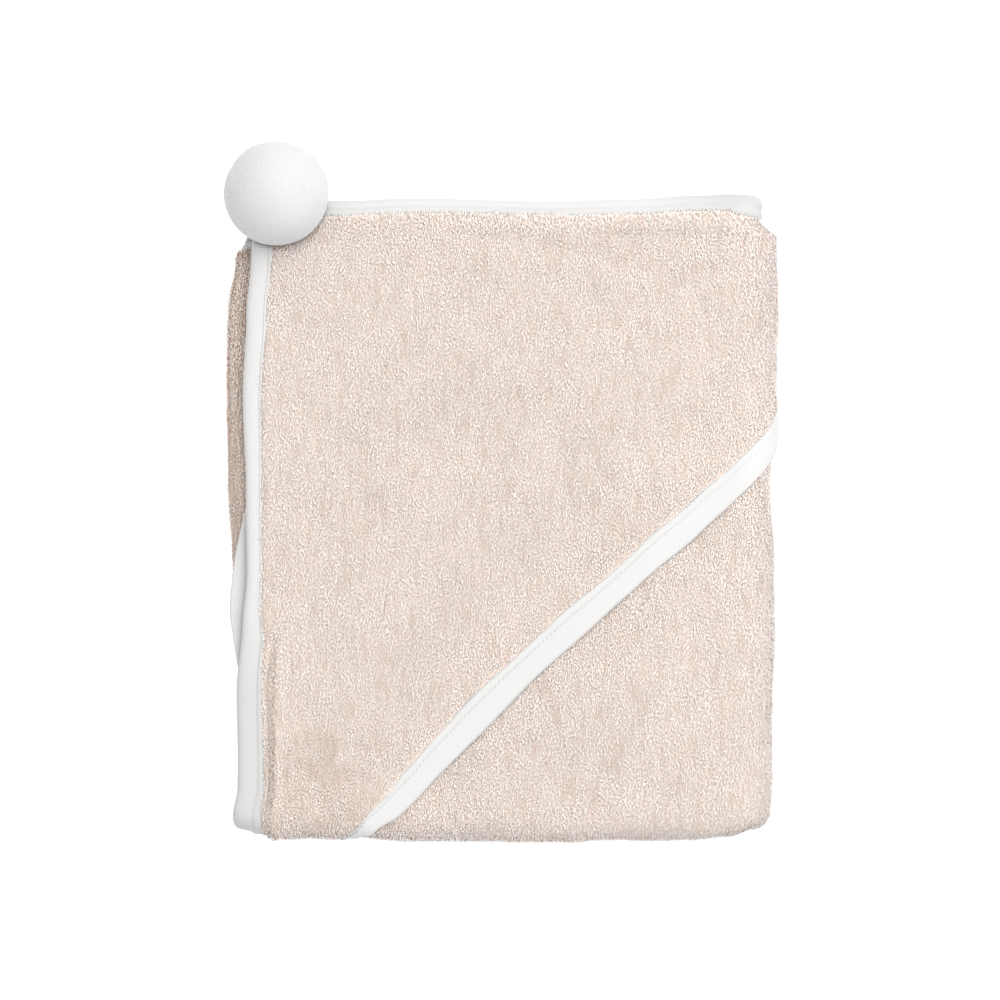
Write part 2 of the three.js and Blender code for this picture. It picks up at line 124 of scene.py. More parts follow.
def colour(name, text, default):
    return bpy.props.FloatVectorProperty(name=name, description=text, default=default, size=3,
                                         min=0, max=1, subtype="COLOR")


class TowelSizes(bpy.types.PropertyGroup):
    """Sizes of the towel, in metres."""

    ball_radius: length("Ball radius", "Radius of the ball",
                        (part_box("ball")[1][0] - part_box("ball")[0][0]) / 2)
    loop_pitch: length("Loop pitch", "Distance between the rows of the pile's loops", 0.00070)
    loop_step: length("Loop step", "Distance between the loops along a row", 0.00072)
    loop_height: length("Loop height", "Height of a loop over the ground cloth", 0.00105)
    yarn: length("Yarn", "Radius of the pile's yarn", 0.00018)
    stitch: length("Stitch", "Length of one stitch", 0.0020)
    rib: length("Rib", "Distance between the ribs of the edge binding", 0.00084)


class TowelColours(bpy.types.PropertyGroup):
    """Colours of the towel's cloths, as linear values."""

    pile: colour("Pile", "Tops of the terry's loops", (0.958, 0.943, 0.929))
    # Painted shade: the feet and ground colours are darker and warmer than the pile's tops,
    # standing in for the shade and bounce light deep between the loops.
    feet: colour("Feet", "Feet of the terry's loops", (0.59, 0.48, 0.41))
    ground: colour("Ground", "Terry between the loops", (0.575, 0.488, 0.432))
    tape: colour("Binding", "Edge bindings", (0.408, 0.406, 0.402))
    ball: colour("Ball", "Ball", (0.428, 0.432, 0.433))


# Height of a strip, which is three plies with their gaps, and of one ply with its gap.
STRIP = 7.5
PITCH = 2.5
# Radii of the back roll and of the left fold, which is pressed smaller near the ball.
BACK_RADIUS = 11.5
LEFT_RADIUS = STRIP
LEFT_RADIUS_PRESSED = 3.9
# Depth of the front fold's curve from back to front, and the underside's two ends.
FRONT_RUN = 6.8
UNDER_BACK = 107
UNDER_FRONT = -143.5
# The top run's left and right end, for the tables that go by x.
RUN_LEFT, RUN_RIGHT = -108, 101
# u between which the underside has loops only where it is raised off the floor.
UNDER_START, UNDER_END = 1.93, 3.02
# v past the cloth's front end everywhere, where the pile's rows stop.
PILE_END = 285
# Where the hood's binding is sewn, as a share of its width.
HOOD_SEAM = 0.27
# The ball's middle, how far from it the cloth stays, and how softly its hollow is eased.
BALL = np.array([-94.5, 125.2, 31.0])
BALL_REACH = 22.55
BALL_SETTLE = 3.4
# Lengths of the top run, right fold, underside, left fold and the start of the hidden run.
RUN_LENGTHS = [205.0, 47.1, 196.0, 23.6, 12.0]
RUN_STARTS = np.concatenate([[0.0], np.cumsum(RUN_LENGTHS)])


# ---- the folded cloth ----
def ease(t):
    """3t^2 - 2t^3, with t held between 0 and 1."""
    t = np.clip(t, 0, 1)
    return t * t * (3 - 2 * t)


def step(at, low, high):
    """0 below low, 1 above high, eased between them."""
    return ease((at - low) / (high - low))


def mix(a, b, t):
    return a + (b - a) * t


def look(table, by, column, at):
    """The column's value at a place of the by column, eased from row to row."""
    x, y = np.array(table[by], float), np.array(table[column], float)
    order = np.argsort(x)
    x, y = x[order], y[order]
    row = np.clip(np.searchsorted(x, at) - 1, 0, len(x) - 2)
    return mix(y[row], y[row + 1], ease((at - x[row]) / (x[row + 1] - x[row])))


edge_at = partial(look, SECTIONS, "y", "edge")
fold_at = partial(look, SECTIONS, "y", "fold")
right_at = partial(look, RIGHT, "y", "right")
side_at = partial(look, SIDE_TAPE, "y")


def left_radius_at(y):
    return mix(LEFT_RADIUS, LEFT_RADIUS_PRESSED, step(y, 88, 103))


def top_level(x, y):
    """Height of the outer ply on top: 3 strips at the left, 4 at the right, less the hollow
    that the ball presses, which follows the ball and is eased at its rim."""
    flat = 3 * STRIP + STRIP * step(x, -50, 75)
    back = look(ENDS, "x", "back", x)
    along = np.clip(y - back, 0, BACK_RADIUS + PITCH - 0.1)
    rolled = BACK_RADIUS + PITCH - np.sqrt((BACK_RADIUS + PITCH) ** 2 - along**2)
    out = np.hypot(x - BALL[0], y - BALL[1])
    inside = np.sqrt(np.maximum(BALL_REACH**2 - out**2, 0))
    dip = np.where(out < BALL_REACH, inside, 2 * (BALL_REACH - out))
    need = flat + PITCH - np.minimum(rolled, 9.5) - BALL[2] + dip
    return flat - (need + np.sqrt(need**2 + BALL_SETTLE**2)) / 2


def under_level(x, y):
    """Height of the outer ply on the underside: 0, and one ply up over the hood's tip."""
    past = right_at(y) - x - y + 16
    return PITCH * step(x, 42, 74) * (1 - step(past, 14, 46))


def around(u, y, depth):
    """A section across the towel: top run, right half circle, underside, left half circle and
    back under the top run, for u from 0 to 5. depth is measured inwards from the outer ply,
    and on the back roll it draws the right fold in by a third as much as it lowers it."""
    right = right_at(y)
    top, under = top_level(right - 2 * STRIP, y), under_level(right - 2 * STRIP, y)
    radius = (top - under) / 2
    axis = right - radius
    small = left_radius_at(y)
    small_axis = fold_at(y) + small
    x_top = mix(edge_at(y), axis, u)
    x_under = mix(axis, small_axis, u - 2)
    turn = math.pi * (1.5 - u)
    back_turn = -math.pi * (u - 2.5)
    drawn = radius - np.where((y > 90) & (depth > 0), 0.33, 1) * depth
    runs = [u <= 1, u <= 2, u <= 3, u <= 4]
    x = np.select(runs, [x_top, axis + drawn * np.cos(turn), x_under,
                         small_axis + (small - depth) * np.cos(back_turn)],
                  small_axis + (u - 4) * RUN_LENGTHS[4])
    z = np.select(runs, [top_level(x_top, y) - depth,
                         under + radius + (radius - depth) * np.sin(turn),
                         under_level(x_under, y) + depth,
                         small + (small - depth) * np.sin(back_turn)],
                  2 * small - depth)
    return x, z


def length_around(u, y):
    """Length round the towel from its bound left edge, on the outer ply."""
    right = right_at(y)
    radius = (top_level(right - 2 * STRIP, y) - under_level(right - 2 * STRIP, y)) / 2
    top = right - radius - edge_at(y)
    bend = math.pi * radius
    under = right - radius - fold_at(y) - LEFT_RADIUS
    return np.select([u <= 1, u <= 2], [u * top, top + (u - 1) * bend],
                     top + bend + (u - 2) * under)


def x_of_run(u):
    return mix(RUN_LEFT, RUN_RIGHT, np.minimum(u, 1)) + 15 * step(u, 1, 1.5)


def back_at(u):
    under = UNDER_BACK + 3.5 * step(u, 3, 3.5)
    return mix(look(ENDS, "x", "back", x_of_run(u)), under, step(u, 1.3, 2))


def front_at(u):
    return mix(look(ENDS, "x", "front", x_of_run(u)), UNDER_FRONT, step(u, 1, 2))


def roll_length(u):
    return BACK_RADIUS * (mix(1.31, 0.3, step(u, 1.45, 2)) - 0.26 * step(u, 2.2, 3))


def front_rise(u):
    """Half the height of the front fold: round two strips on top, round one elsewhere."""
    return mix(STRIP, STRIP / 2, step(u, 0.95, 1.6))


def front_radius(u):
    return (FRONT_RUN + front_rise(u)) / 2


def hook(u):
    """Length of the cloth from where the front fold starts to its end inside."""
    return 0.8 * math.pi * front_radius(u)


def front_start(u):
    return roll_length(u) + back_at(u) - front_at(u) - FRONT_RUN


def fold_cloth(u, v, depth):
    """The folded towel: at u round it and v forwards from its back edge, in from the outer ply.
    The back edge is rolled on a circle, the middle lies flat and the front is a half ellipse."""
    u, v, depth = np.broadcast_arrays(*(np.asarray(a, float) for a in (u, v, depth)))
    roll, start = roll_length(u), front_start(u)
    turn = (roll - v) / BACK_RADIUS
    fold, rise = (v - start) / front_radius(u), front_rise(u)
    y = np.select([v < roll, v < start],
                  [back_at(u) + (BACK_RADIUS - depth) * np.sin(turn), back_at(u) - (v - roll)],
                  front_at(u) + FRONT_RUN - (FRONT_RUN - depth) * np.sin(fold))
    sunk = np.select([v < roll, v < start],
                     [BACK_RADIUS - (BACK_RADIUS - depth) * np.cos(turn), depth],
                     rise - (rise - depth) * np.cos(fold))
    x, z = around(u, y, sunk)
    return np.stack([x, y, np.maximum(z, 0)], axis=-1)


def diagonal_at(u, column):
    """v at which the hood's diagonal crosses u: the two lengths add up to the column's sum."""
    total = look(DIAGONAL, "x", column, x_of_run(u))
    first = total - length_around(u, np.zeros_like(u))
    y = fold_cloth(u, np.clip(first, 0, front_start(u)), 0)[..., 1]
    return np.minimum(total - length_around(u, y), front_start(u) + hook(u))


def hooded(u):
    """1 where the hood's ply lies on the outer ply, 0 past its end on the underside."""
    return 1 - step(u, 2.14, 2.3)


def soft_noise(s, v, size, seed):
    """Random numbers on a square lattice, eased between its corners: from -1 to 1."""
    lattice = np.random.default_rng(seed).uniform(-1, 1, (64, 64))
    s, v = s / size, v / size
    i, j = np.floor(s).astype(int), np.floor(v).astype(int)
    a, b = ease(s - i), ease(v - j)
    i, j, k, m = i % 64, j % 64, (i + 1) % 64, (j + 1) % 64
    return mix(mix(lattice[i, j], lattice[k, j], a), mix(lattice[i, m], lattice[k, m], a), b)


def creases(u, v):
    """How far the cloth sinks: each crease is a straight trough in the flat cloth, a bell
    curve across, faded at its ends; with the step beside the left binding's front part,
    and uneven softness of the cloth as a whole."""
    s = length_around(u, 0 * u)
    sunk = 0 * s
    for a, b, c, d, wide, deep in zip(*(CREASES[k] for k in CREASES)):
        run = math.hypot(c - a, d - b)
        along = ((s - a) * (c - a) + (v - b) * (d - b)) / run
        across = ((s - a) * (d - b) - (v - b) * (c - a)) / run
        over = np.maximum(np.maximum(-along, along - run), 0)
        sunk = sunk + deep * np.exp(-((across / wide) ** 2) - (over / (1.6 * wide)) ** 2)
    beside = step(v, 178, 205) * (1 - step(v, 262, 276))
    sunk = sunk + beside * (0.6 * (1 - step(s, 13.2, 14.2))
                            - 0.5 * np.exp(-(((s - 16.5) / 2.5) ** 2)))
    uneven = 0.60 * soft_noise(s, v, 26, 3) + 0.40 * soft_noise(s + 9, v, 9, 4)
    return (sunk + uneven) * (1 - step(u, 1.9, 2.05) + step(u, 2.95, 3.1))


def under_tape(u, v):
    """1 where a ply lies in a binding, easing to 0 beside it."""
    y = fold_cloth(u, v, 0)[..., 1]
    side = side_at("width", y)
    beside = 1 - step(length_around(np.minimum(u, 1), y), side - 0.6, side + 2.4)
    behind = 1 - step(v, end_width(u) - 0.6, end_width(u) + 1.2)
    return np.maximum(beside * (u <= 1), behind)


def end_width(u):
    """Width of the back binding that shows: narrow on the roll and at the left fold, wider
    round the right fold and underneath."""
    corner = 2.8 * step(u, 0.93, 1.1) + 2.2 * step(u, 1.1, 1.5)
    return 9.2 + 0.4 * np.sin(u * 9) + corner - 2.0 * step(u, 1.6, 2) - 3.0 * step(u, 3, 3.3)


def main_ground(u, v):
    """Depth of the main panel's ground cloth, which lies flat on the surface it rests on."""
    rest = step(u, 1.85, 2.1) * (1 - step(u, 2.9, 3.1))
    covered = (1 - step(v, diagonal_at(u, "free") - 6, diagonal_at(u, "free") - 1)) * hooded(u)
    sunk = creases(u, v)
    free = mix(0.5, 0.08, rest) + sunk
    flat = mix(free, 0.5 + np.maximum(sunk - 0.9, 0), covered)
    return mix(flat, mix(1.3, 0.35, hooded(u)), under_tape(u, v))


def hood_ground(u, v):
    """Depth of the hood's ground cloth, on top of the main panel."""
    rest = step(u, 1.85, 2.0)
    return mix(mix(-1.85 + creases(u, v), -2.3, rest), -0.95, under_tape(u, v))


# ---- meshes ----
def placed(name, data):
    """A new object in the scene."""
    piece = bpy.data.objects.new(name, data)
    bpy.context.scene.collection.objects.link(piece)
    return piece


def build_mesh(name, points, quads, triangles=None, uv=None):
    """A mesh from points in millimetres and faces as index arrays, turned to face outwards and
    moved in x and y so that BALL comes over the middle of the CAD's ball."""
    shift = [(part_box("ball")[0][k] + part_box("ball")[1][k]) / 2 - BALL[k] * MM for k in (0, 1)]
    points = points.reshape(-1, 3) * MM + np.array([*shift, 0])
    triangles = np.zeros((0, 3), int) if triangles is None else triangles
    flat = np.concatenate([quads[:, [0, 1, 2]], quads[:, [0, 2, 3]], triangles])
    a, b, c = (points[flat[:, k]] for k in range(3))
    if np.einsum("ij,ij->", a, np.cross(b, c)) < 0:
        quads, triangles = quads[:, ::-1], triangles[:, ::-1]
    corners = np.concatenate([quads.ravel(), triangles.ravel()]).astype(np.int32)
    starts = np.concatenate([np.arange(len(quads)) * 4,
                             len(quads) * 4 + np.arange(len(triangles)) * 3]).astype(np.int32)
    mesh = bpy.data.meshes.new(name)
    mesh.vertices.add(len(points))
    mesh.vertices.foreach_set("co", points.astype(np.float32).ravel())
    mesh.loops.add(len(corners))
    mesh.loops.foreach_set("vertex_index", corners)
    mesh.polygons.add(len(starts))
    mesh.polygons.foreach_set("loop_start", starts)
    mesh.polygons.foreach_set("use_smooth", np.ones(len(starts), bool))
    if uv is not None:
        layer = mesh.uv_layers.new(name="cloth")
        layer.data.foreach_set("uv", uv.reshape(-1, 2)[corners].astype(np.float32).ravel())
    mesh.update(calc_edges=True)
    mesh.validate()
    return placed(name, mesh)


def grid_quads(rows, columns, first=0, loop=False):
    """Faces of a grid of points, row after row; loop joins each row's last point to its first."""
    i, j = np.meshgrid(np.arange(rows - 1), np.arange(columns - (not loop)), indexing="ij")
    k = (j + 1) % columns
    return np.stack([i * columns + j, (i + 1) * columns + j, (i + 1) * columns + k,
                     i * columns + k], axis=-1).reshape(-1, 4) + first


def wall(name, outer, inner, uv):
    """A closed wall between two grids of points, with a rim round all four sides."""
    rows, columns = outer.shape[:2]
    count = rows * columns
    index = np.arange(count).reshape(rows, columns)
    rim = np.concatenate([index[0, :-1], index[:-1, -1], index[-1, :0:-1], index[:0:-1, 0]])
    after = np.roll(rim, -1)
    quads = np.concatenate([grid_quads(rows, columns), grid_quads(rows, columns, count)[:, ::-1],
                            np.stack([rim, after, after + count, rim + count], axis=-1)])
    return build_mesh(name, np.concatenate([outer.reshape(-1, 3), inner.reshape(-1, 3)]), quads,
                      uv=np.concatenate([uv.reshape(-1, 2)] * 2))


def tube_ends(near, first, far, last):
    """Triangles that close a tube: its near ring round the first point, its far round the last."""
    return np.concatenate([np.stack([np.roll(near, -1), near, 0 * near + first], axis=-1),
                           np.stack([far, np.roll(far, -1), 0 * far + last], axis=-1)])


def swept(name, rings, uv):
    """A closed section carried along a path, its two ends closed round their middles."""
    rows, columns = rings.shape[:2]
    count = rows * columns
    ring = np.arange(columns)
    caps = tube_ends(ring, count, ring + count - columns, count + 1)
    middles = np.stack([rings[0].mean(axis=0), rings[-1].mean(axis=0)])
    return build_mesh(name, np.concatenate([rings.reshape(-1, 3), middles]),
                      grid_quads(rows, columns, loop=True), caps,
                      np.concatenate([uv.reshape(-1, 2), uv[0, :1], uv[-1, :1]]))


def cloth_uv(along, across):
    """The mesh's own coordinates from two measures, spread over one grid."""
    return np.stack(np.broadcast_arrays(along, across), axis=-1)


def even_run(grid, each):
    """Lengths across a tape's section in even steps, in metres."""
    return np.cumsum(np.full(grid.shape[1], each)) * MM


def stations(start, *stretches):
    """Places along a run: each stretch is where it ends and how many places it has, its start
    among them."""
    places = [[start]]
    for end, count in stretches:
        places.append(np.linspace(start, end, count)[1:])
        start = end
    return np.concatenate(places)[:, None]


def thick_section(along, height, thick):
    """A line in a plane made a closed outline: the line out, and back at its left hand."""
    run, climb = np.gradient(along, axis=-1), np.gradient(height, axis=-1)
    size = np.maximum(np.hypot(run, climb), 1e-6)
    back = along - thick * climb / size, height + thick * run / size
    return (np.concatenate([along, back[0][..., ::-1]], axis=-1),
            np.concatenate([height, back[1][..., ::-1]], axis=-1))


def yarn_tubes(name, path, side, radius, place, chance, top):
    """Yarns of three-sided section along short paths in the flat cloth, each drawn to a point
    at both its ends, where it goes into the cloth. path and side are (yarn, ring, 3) in the
    cloth's measures, which place folds. The mesh's own coordinates are each yarn's chance, and
    how high and open a point lies, which the yarn's material turns into painted shade: darker
    low down and on the two lower corners of each ring."""
    yarns, rings = path.shape[0], path.shape[1] - 2
    forward = np.gradient(path, axis=1)[:, 1:-1]
    forward /= np.linalg.norm(forward, axis=-1, keepdims=True)
    up = np.cross(side[:, 1:-1], forward)
    up /= np.linalg.norm(up, axis=-1, keepdims=True)
    across = np.cross(forward, up)
    turn = (np.arange(3) * 2 / 3 - 0.5) * math.pi
    ring = (path[:, 1:-1, None] + radius * (np.cos(turn)[:, None] * across[:, :, None]
                                            + np.sin(turn)[:, None] * up[:, :, None]))
    ring = ring.reshape(yarns, rings * 3, 3)
    points = place(np.concatenate([path[:, :1], ring, path[:, -1:]], axis=1))
    count = rings * 3 + 2
    first = np.arange(yarns)[:, None, None] * count
    quads = (grid_quads(rings, 3, 1, loop=True)[None] + first).reshape(-1, 4)
    ends = tube_ends(1 + np.arange(3), 0, count - 4 + np.arange(3), count - 1)
    # Painted shade: the height share is cut to 0.35 on a ring's two lower corners, so the yarn's
    # sides take the darker feet colour.
    high = np.clip(path[:, 1:-1, None, 2] / top, 0, 1) * np.array([0.35, 1.0, 1.0])
    high = np.pad(high.reshape(yarns, rings * 3), ((0, 0), (1, 1)))
    own = np.stack([chance[:, None] + 0 * high, high], axis=-1)
    return build_mesh(name, points, quads, (ends[None] + first).reshape(-1, 3), own)


# ---- pile ----
def run_at(s):
    """u at a length round the towel, for short steps of a loop and its place."""
    return np.interp(s, RUN_STARTS, np.arange(6))


def pile_points(sizes, low, high, v_low, seed, thin=1.0):
    """Staggered rows of loops in the flat cloth, each moved a little at random: u and v."""
    rng = np.random.default_rng(seed)
    pitch, stride = sizes.loop_pitch / MM * thin, sizes.loop_step / MM * thin
    start, end = np.interp([low, high], np.arange(6), RUN_STARTS)
    s, v = np.meshgrid(np.arange(start, end, pitch), np.arange(v_low, PILE_END, stride),
                       indexing="ij")
    v = v + stride / 2 * (np.arange(len(s)) % 2)[:, None]
    s = s.ravel() + rng.uniform(-0.45, 0.45, s.size) * pitch
    v = v.ravel() + rng.uniform(-0.45, 0.45, v.size) * stride
    return run_at(s), v


def comb(u, v):
    """How far the tops of the loops are pushed: over the bindings at the back and left, out
    over the front fold, and over the deep crease beside the left binding. Round and along."""
    y = fold_cloth(u, v, 0)[..., 1]
    s = length_around(np.minimum(u, 1), y)
    lip = s - side_at("width", y)
    over_crease = step(s, 13.6, 14.4) * (1 - step(s, 15.5, 19)) * step(v, 180, 200)
    pressed = 0.5 + 0.9 * step(y, -66, -50) * (1 - step(y, -22, -4))
    across = -1.6 * over_crease - pressed * (1 - step(lip, 0, 3.5)) * (u <= 1)
    along = -0.9 * (1 - step(v, end_width(u), end_width(u) + 6))
    along = along + 0.4 * step(v, front_start(u) - 9, front_start(u) + 3)
    return across, along


def pile(name, sizes, u, v, ground, seed):
    """Loops of yarn on the ground cloth: each goes up and down again, mostly along the cloth's
    length, bowed to one side and leaning, with its feet in the ground."""
    rng = np.random.default_rng(seed)
    n = len(u)
    t, arch = np.array([[0, 0.5, 1]]), np.array([[0, 1, 0]])
    s = np.interp(u, np.arange(6), RUN_STARTS)
    tall = sizes.loop_height / MM * rng.uniform(0.6, 1.2, n)
    push_across, push_along = comb(u, v)
    tall *= 1 + 0.16 * soft_noise(s, v, 7, 11) + 0.25 * np.abs(push_across)
    long = rng.uniform(1.6, 2.9, n)
    turn = rng.normal(0, 0.28, n) + 0.36 * soft_noise(s, v, 14, 12)
    turn += np.where(rng.random(n) < 0.10, rng.uniform(-1.3, 1.3, n), 0)
    lean = rng.normal(0.2, 0.5, n) + 0.5 * soft_noise(s, v, 18, 13)
    bow = rng.normal(0, 0.30, n)
    forward = (t - 0.5) * long[:, None] + lean[:, None] * arch
    aside = bow[:, None] * arch
    across = forward * np.sin(turn)[:, None] + aside * np.cos(turn)[:, None]
    along = forward * np.cos(turn)[:, None] - aside * np.sin(turn)[:, None]
    across += push_across[:, None] * arch
    along += push_along[:, None] * arch
    height = tall[:, None] * arch - 0.2 * (1 - arch)
    path = np.stack([across, along, height], axis=-1)
    side = np.stack([np.cos(turn), -np.sin(turn), 0 * turn], axis=-1)[:, None] + 0 * path
    base = ground(u, v)

    def place(ring):
        at = run_at(s[:, None] + ring[..., 0])
        return fold_cloth(at, v[:, None] + ring[..., 1],
                          np.minimum(base[:, None] - ring[..., 2], 3.0))

    return yarn_tubes(name, path, side, sizes.yarn / MM, place, rng.random(n), 1.3)


def clear_of_ball(u, v, ground):
    """Whether a loop there stays out of the ball."""
    at = fold_cloth(u, v, ground(u, v) - 0.6)
    return np.linalg.norm(at - BALL, axis=-1) > BALL_REACH + 0.1


# ---- finishes ----
def maths(operation, swapped=False):
    """A method of Value that puts a maths node into its material."""
    def method(self, other=0.0):
        a, b = (other, self) if swapped else (self, other)
        return self.finish.node("ShaderNodeMath", {"operation": operation}, {0: a, 1: b})

    return method


class Value:
    """A socket's value in a material, with the maths that the finishes use."""

    def __init__(self, finish, socket):
        self.finish, self.socket = finish, socket

    __add__ = __radd__ = maths("ADD")
    __sub__, __rsub__ = maths("SUBTRACT"), maths("SUBTRACT", swapped=True)
    __mul__ = __rmul__ = maths("MULTIPLY")
    __abs__, sine = maths("ABSOLUTE"), maths("SINE")


class Finish:
    """A material and its nodes."""

    def __init__(self, name):
        self.material = bpy.data.materials.new(name)
        self.material.use_nodes = True
        self.tree = self.material.node_tree
        self.shader = self.tree.nodes["Principled BSDF"]

    def node(self, kind, settings=None, inputs=None, output=0):
        """A node of a kind, with its settings, then the values or links of its sockets."""
        new = self.tree.nodes.new(kind)
        for key, value in (settings or {}).items():
            setattr(new, key, value)
        for key, value in (inputs or {}).items():
            self.set(new.inputs[key], value)
        return Value(self, new.outputs[output])

    def set(self, socket, value):
        if isinstance(value, Value):
            self.tree.links.new(value.socket, socket)
        else:
            socket.default_value = value

    def shade(self, **sockets):
        for key, value in sockets.items():
            self.set(self.shader.inputs[key.replace("_", " ")], value)
        return self

    def cloth(self, shade, rough, normal, sheen, nap=0.5, shine=0.1):
        """The material of a matt cloth, with the roughness and weight of its sheen."""
        return self.shade(Base_Color=shade, Roughness=rough, Normal=normal, Sheen_Weight=sheen,
                          Sheen_Roughness=nap, Specular_IOR_Level=shine).material

    def place(self):
        return self.node("ShaderNodeTexCoord", output=3)

    def own(self):
        """The mesh's own coordinates."""
        return self.node("ShaderNodeUVMap", {"uv_map": "cloth"})

    def scaled(self, place, *by):
        return self.node("ShaderNodeVectorMath", {"operation": "MULTIPLY"}, {0: place, 1: by})

    def distance(self, centre):
        return self.node("ShaderNodeVectorMath", {"operation": "DISTANCE"},
                         {0: self.place(), 1: centre}, output=1)

    def noise(self, scale, detail=2.0, at=None):
        return self.node("ShaderNodeTexNoise", inputs={
            "Vector": at or self.place(), "Scale": scale, "Detail": detail})

    def blend(self, share, first, second):
        """Two colours, mixed by a share from 0 to 1."""
        return self.node("ShaderNodeMix", {"data_type": "RGBA"},
                         {0: share, 6: first, 7: second}, output=2)

    def clamped(self, value):
        return self.node("ShaderNodeClamp", inputs={0: value})

    def parts(self, vector):
        """The first two parts of a vector."""
        split = self.node("ShaderNodeSeparateXYZ", inputs={0: vector}).socket.node
        return Value(self, split.outputs[0]), Value(self, split.outputs[1])

    def bump(self, height, distance, strength=1.0):
        return self.node("ShaderNodeBump", inputs={
            "Height": height, "Distance": distance, "Strength": strength})


def tone(shade, by):
    return (*(min(1.0, c * by) for c in shade), 1.0)


def ground_finish(colours, name="terry_ground", scale=1700, gap_shade=1.0, depth=0.0005):
    """Terry seen between the loops, or at the edges of hidden plies, where it takes its place
    from the object: short worms of yarn as bump and tone, over slow patches. Its dark colour,
    and the feet colour in the hollows between the worms, darker still on the plies' edges, are
    painted shade between the loops."""
    finish = Finish(name)
    place = finish.own() if name == "terry_ground" else finish.place()
    stretched = finish.scaled(place, 1.0, 0.55, 1.0)
    patches = finish.noise(60, 3)
    worms = finish.noise(scale, 1, stretched)
    shade = tuple(colours.ground)
    # Painted shade: the hollows between the worms take the feet colour, darker still on the plies'
    # edges.
    painted_gap_shade = finish.clamped(worms * 3.0 - 1.0 + patches * 0.3)
    mixed = finish.blend(painted_gap_shade, tone(colours.feet, gap_shade), tone(shade, 1.05))
    return finish.cloth(mixed, 0.82 + patches * 0.14, finish.bump(worms, depth, 0.8), 0.2)


def yarn_finish(colours, name="terry_yarn", bounce_tint=(1.0, 1.0, 1.0)):
    """Cotton yarn, with painted shade and bounce light making it darker and warmer towards a
    loop's feet and pale at its top, no two loops quite alike, over slow patches of tone, with
    painted shade in streaks where the pile parts, in a patch at the front left and in the
    crease beside the left binding, and with the yarn's twist as bump."""
    finish = Finish(name)
    chance, height = finish.parts(finish.own())
    patches = finish.noise(60, 3)
    # The tint that multiplies both colours is painted bounce light.
    low, high = (tuple(np.array(shade) * bounce_tint) for shade in (colours.feet, colours.pile))
    tops = finish.blend(patches * 0.6 + chance * 0.6 - 0.10, tone(high, 0.79), tone(high, 1.03))
    drawn_out = finish.scaled(finish.place(), 1.0, 0.2, 1.0)
    # Painted shade: streaks where the pile parts, a patch at the front left and the crease beside
    # the left binding each draw the yarn towards its dark feet colour.
    parting_shade = finish.clamped(finish.noise(450, 2, drawn_out) * 7.0 - 3.7) * 0.6
    painted_shade_patch = finish.clamped(1.4 - finish.distance((-0.078, -0.122, 0.025)) * 42.0)
    painted_shade_patch = painted_shade_patch * finish.clamped(finish.noise(130, 2) * 4.0 - 1.3) * 0.6
    x, y = finish.parts(finish.place())
    crease_shade = finish.clamped(1.0 - abs(x + 0.0962) * 350.0) * finish.clamped(y * -40.0 - 1.6)
    # Painted shade: the yarn takes the feet colour low down, on its lower sides and in the
    # streaks, patch and crease.
    mixed = finish.blend(height * (1.0 - parting_shade - painted_shade_patch - crease_shade * 0.35), tone(low, 1.0), tops)
    twist = finish.bump(finish.noise(3800, 2), 0.00008, 0.6)
    return finish.cloth(mixed, 0.82 + patches * 0.14, twist, 0.25)


def tape_finish(colours, rib=0.0, seam_shade=0.25):
    """Cotton tape, a little uneven. With a rib it has ribs across, their light and shade painted
    into its tone, painted shade along its sewn line and on its lip, and a further part painted
    darker as shade but for its end on the left fold, painted pale as light. Without, it has a
    plain fine weave and a row of stitch holes painted as dots of shade."""
    finish = Finish("ribbed_tape" if rib else "plain_tape")
    along, across = finish.parts(finish.own())
    uneven = finish.noise(140, 3)
    grain = finish.noise(2600, 2)
    if rib:
        ribs = (along * (2 * math.pi / rib)).sine()
        height = ribs * 0.5 + grain * 0.5
        normal = finish.bump(height, 0.00010, 0.8)
    else:
        thread = 2 * math.pi / 0.0006
        weave = (along * thread).sine() * (across * thread).sine()
        normal = finish.bump(weave * 0.3 + grain * 0.7, 0.00005, 0.7)
    shade = tuple(colours.tape)
    if rib:
        past_lip = finish.clamped(across * 900.0 - 3.6)
        lower = finish.clamped(along * 25.0 - 4.2)
        # Painted shade: the lip, lower than the pile beside it, is painted darker further along
        # the tape.
        lip = finish.blend(lower, tone(shade, 1.03), tone(shade, 0.87))
        # Painted shade along the groove of the sewn line.
        sewn = finish.clamped(1.0 - abs(across - 0.0048) * 2500.0) * seam_shade
        # Painted light and shade: lit puts the ribs' light and shade into the tone over random
        # unevenness, and the body is painted darker further along the tape, as shade.
        lit = uneven * 0.6 + ribs * 0.25 + 0.2
        painted_shade_body = finish.blend(lower, finish.blend(lit, tone(shade, 0.95), tone(shade, 1.04)),
                            finish.blend(lit, tone(shade, 0.84), tone(shade, 0.96)))
        # Painted light: where the tape goes under on the left fold, in the ball's shadow, it is
        # painted paler.
        under = finish.clamped(along * 60.0 - 26.6)
        body = finish.blend(under, painted_shade_body, tone(shade, 1.3))
        mixed = finish.blend(sewn, finish.blend(past_lip, lip, body), tone(shade, 0.84))
    else:
        # Painted shade: a row of darker dots for the stitch holes.
        dots = finish.clamped((along * (2 * math.pi / 0.002)).sine() * 1.2 - 0.2)
        dots = dots * finish.clamped(1.2 - abs(across - 0.0035) * 1300.0)
        body = finish.blend(uneven, tone(shade, 1.01), tone(shade, 1.05))
        mixed = finish.blend(dots * 0.8, body, tone(shade, 0.84))
    return finish.cloth(mixed, 0.70 + uneven * 0.12, normal, 0.1, shine=0.25)


